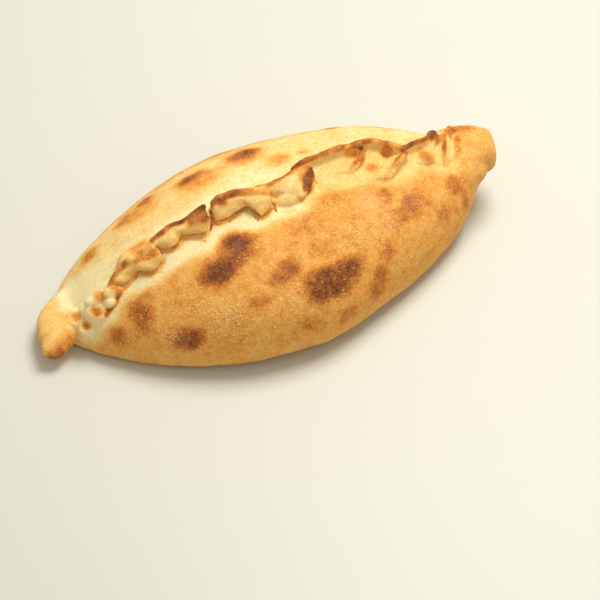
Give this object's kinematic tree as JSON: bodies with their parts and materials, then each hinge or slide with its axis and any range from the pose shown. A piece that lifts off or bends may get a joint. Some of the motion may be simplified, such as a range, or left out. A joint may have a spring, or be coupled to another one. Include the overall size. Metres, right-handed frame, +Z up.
{
  "type": "calzone",
  "caption": "Whole baked calzone with a crimped seam along its top, a flat base and pinched dough ends.",
  "frame": {"origin": "middle of the bounding box in X and Y, on the flat underside", "axes": "+X along the calzone from its low tongue end to its raised stub end, +Y to the back, away from the side that the crimps lean to, +Z up"},
  "size_m": [0.291, 0.1428, 0.0686],
  "materials": {
    "baked_crust": "dry baked dough, golden with browned spots, pale beside the folds"
  },
  "bodies": {
    "root": {"calzone": "baked_crust"}
  },
  "joints": []
}
